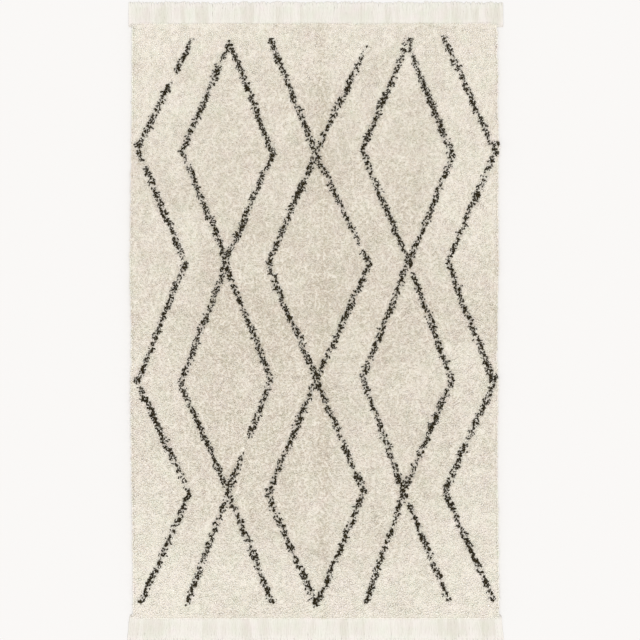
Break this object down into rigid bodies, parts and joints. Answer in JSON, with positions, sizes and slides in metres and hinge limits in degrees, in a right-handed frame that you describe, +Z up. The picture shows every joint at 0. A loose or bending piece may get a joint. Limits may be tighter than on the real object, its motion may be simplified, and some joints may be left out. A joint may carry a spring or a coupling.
{
  "type": "tufted cotton rug",
  "caption": "Flat rectangular cotton rug with a soft tufted pile in a lozenge lattice pattern and a loose yarn fringe at both ends.",
  "frame": {"origin": "middle of the underside, on the floor that the rug lies on", "axes": "+X across the rug, +Y along the rug towards its far fringe, +Z up"},
  "size_m": [1.5392, 2.6258, 0.018],
  "materials": {
    "pile_cream": "undyed cream cotton pile, soft and matt, with slow warm and grey variation",
    "pile_charcoal": "charcoal cotton pile of the lattice lines, matt, with a few cream yarns among it",
    "base_cloth": "plain woven cotton base with rows of tufting stitches, seen from below",
    "fringe_cotton": "ivory cotton yarn in soft, loosely twisted bundles, matt"
  },
  "bodies": {
    "root": {"rug_field": "pile_cream", "fringe_far": "fringe_cotton", "fringe_near": "fringe_cotton"}
  },
  "joints": []
}
